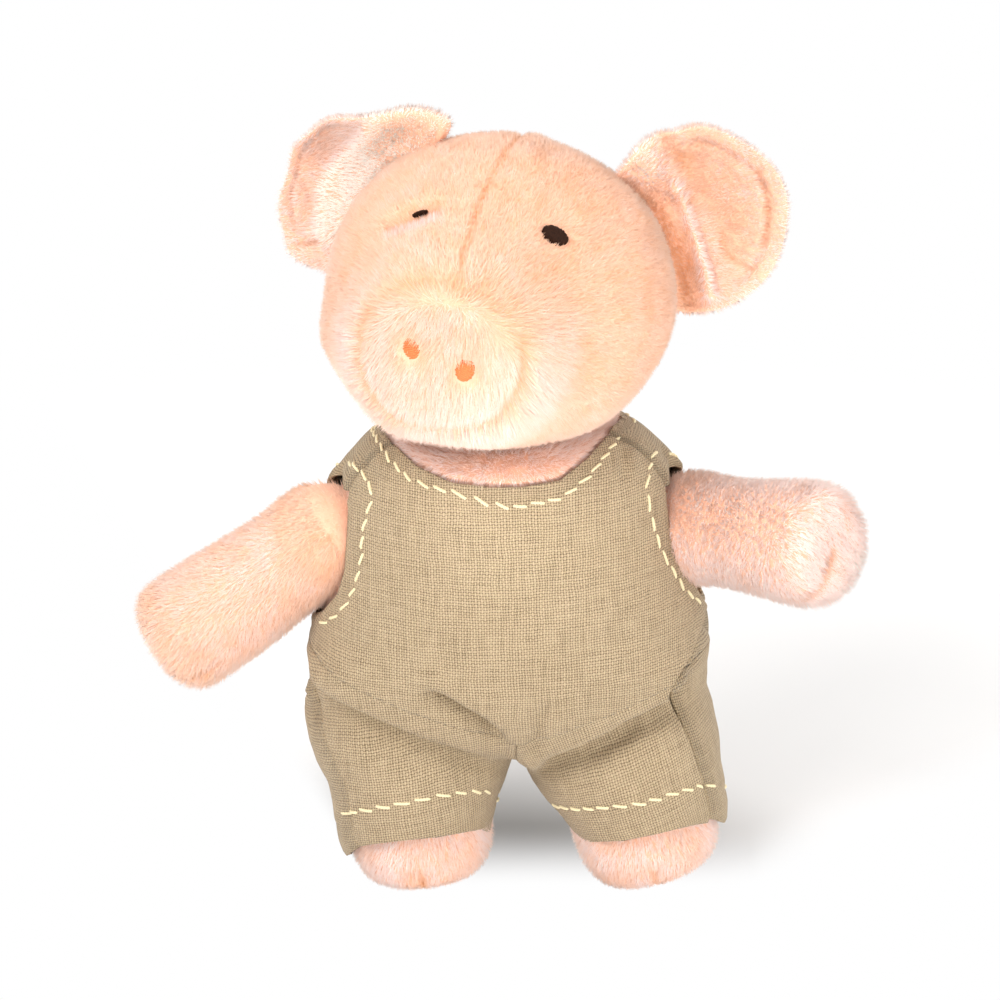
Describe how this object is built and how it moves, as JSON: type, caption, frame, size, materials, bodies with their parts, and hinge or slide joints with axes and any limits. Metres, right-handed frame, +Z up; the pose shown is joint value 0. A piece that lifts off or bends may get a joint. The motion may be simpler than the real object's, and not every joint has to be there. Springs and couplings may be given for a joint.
{
  "type": "plush pig",
  "caption": "Small standing soft toy pig in sleeveless linen overalls, with a turning and nodding head, folding ears, and arms and legs that swing at their seams.",
  "frame": {"origin": "on the surface that the soles stand on, at the middle of the toy's own box", "axes": "+Z up through the head, -Y the way the body faces, +X towards the pig's left side"},
  "size_m": [0.1626, 0.0834, 0.1822],
  "materials": {
    "plush": "short soft pile",
    "stuffing": "matt fibre",
    "linen": "matt plain weave",
    "eye_thread": "satin stitch",
    "nostril_thread": "satin stitch"
  },
  "bodies": {
    "torso": {"body_cover": "plush", "body_stuffing": "stuffing", "overalls_front": "linen", "overalls_back": "linen"},
    "neck": {"neck_collar": "plush"},
    "head": {"head_panel_left": "plush", "head_panel_right": "plush", "snout_disc": "plush", "head_stuffing": "stuffing", "eye_left": "eye_thread", "eye_right": "eye_thread", "nostril_left": "nostril_thread", "nostril_right": "nostril_thread"},
    "ear_left": {"ear_left_front": "plush", "ear_left_back": "plush"},
    "ear_right": {"ear_right_front": "plush", "ear_right_back": "plush"},
    "arm_left": {"arm_left_cover": "plush", "arm_left_stuffing": "stuffing"},
    "arm_right": {"arm_right_cover": "plush", "arm_right_stuffing": "stuffing"},
    "leg_left": {"leg_left_cover": "plush", "leg_left_stuffing": "stuffing"},
    "leg_right": {"leg_right_cover": "plush", "leg_right_stuffing": "stuffing"}
  },
  "joints": [
    {"name": "head_turn", "type": "hinge", "parent": "torso", "child": "neck", "pos_m": [0.00065, 0.00429, 0.14219], "axis": [-0.0262, 0, 0.9997], "range_deg": [-30, 40]},
    {"name": "head_nod", "type": "hinge", "parent": "neck", "child": "head", "pos_m": [0.00065, 0.00429, 0.14219], "axis": [0.9803, -0.1724, -0.0962], "range_deg": [-8, 8]},
    {"name": "ear_left_fold", "type": "hinge", "parent": "head", "child": "ear_left", "pos_m": [0.03153, 0.01204, 0.15451], "axis": [-0.4077, -0.0119, 0.913], "range_deg": [-15, 15]},
    {"name": "ear_right_fold", "type": "hinge", "parent": "head", "child": "ear_right", "pos_m": [-0.02288, 0.02161, 0.15985], "axis": [0.2539, -0.2414, 0.9366], "range_deg": [-15, 15]},
    {"name": "arm_left_swing", "type": "hinge", "parent": "torso", "child": "arm_left", "pos_m": [0.04386, 0.00729, 0.0851], "axis": [-0.7069, -0.7071, -0.0185], "range_deg": [-20, 28]},
    {"name": "arm_right_swing", "type": "hinge", "parent": "torso", "child": "arm_right", "pos_m": [-0.03951, 0.00729, 0.08292], "axis": [-0.0174, 0.9998, -0.0005], "range_deg": [-5, 50]},
    {"name": "leg_left_swing", "type": "hinge", "parent": "torso", "child": "leg_left", "pos_m": [0.02891, 0.00379, 0.03104], "axis": [-1, 0, 0], "range_deg": [-15, 30], "deforming": ["overalls_front", "overalls_back"]},
    {"name": "leg_right_swing", "type": "hinge", "parent": "torso", "child": "leg_right", "pos_m": [-0.02009, 0.00379, 0.03104], "axis": [-1, 0, 0], "range_deg": [-15, 30], "deforming": ["overalls_front", "overalls_back"]}
  ]
}
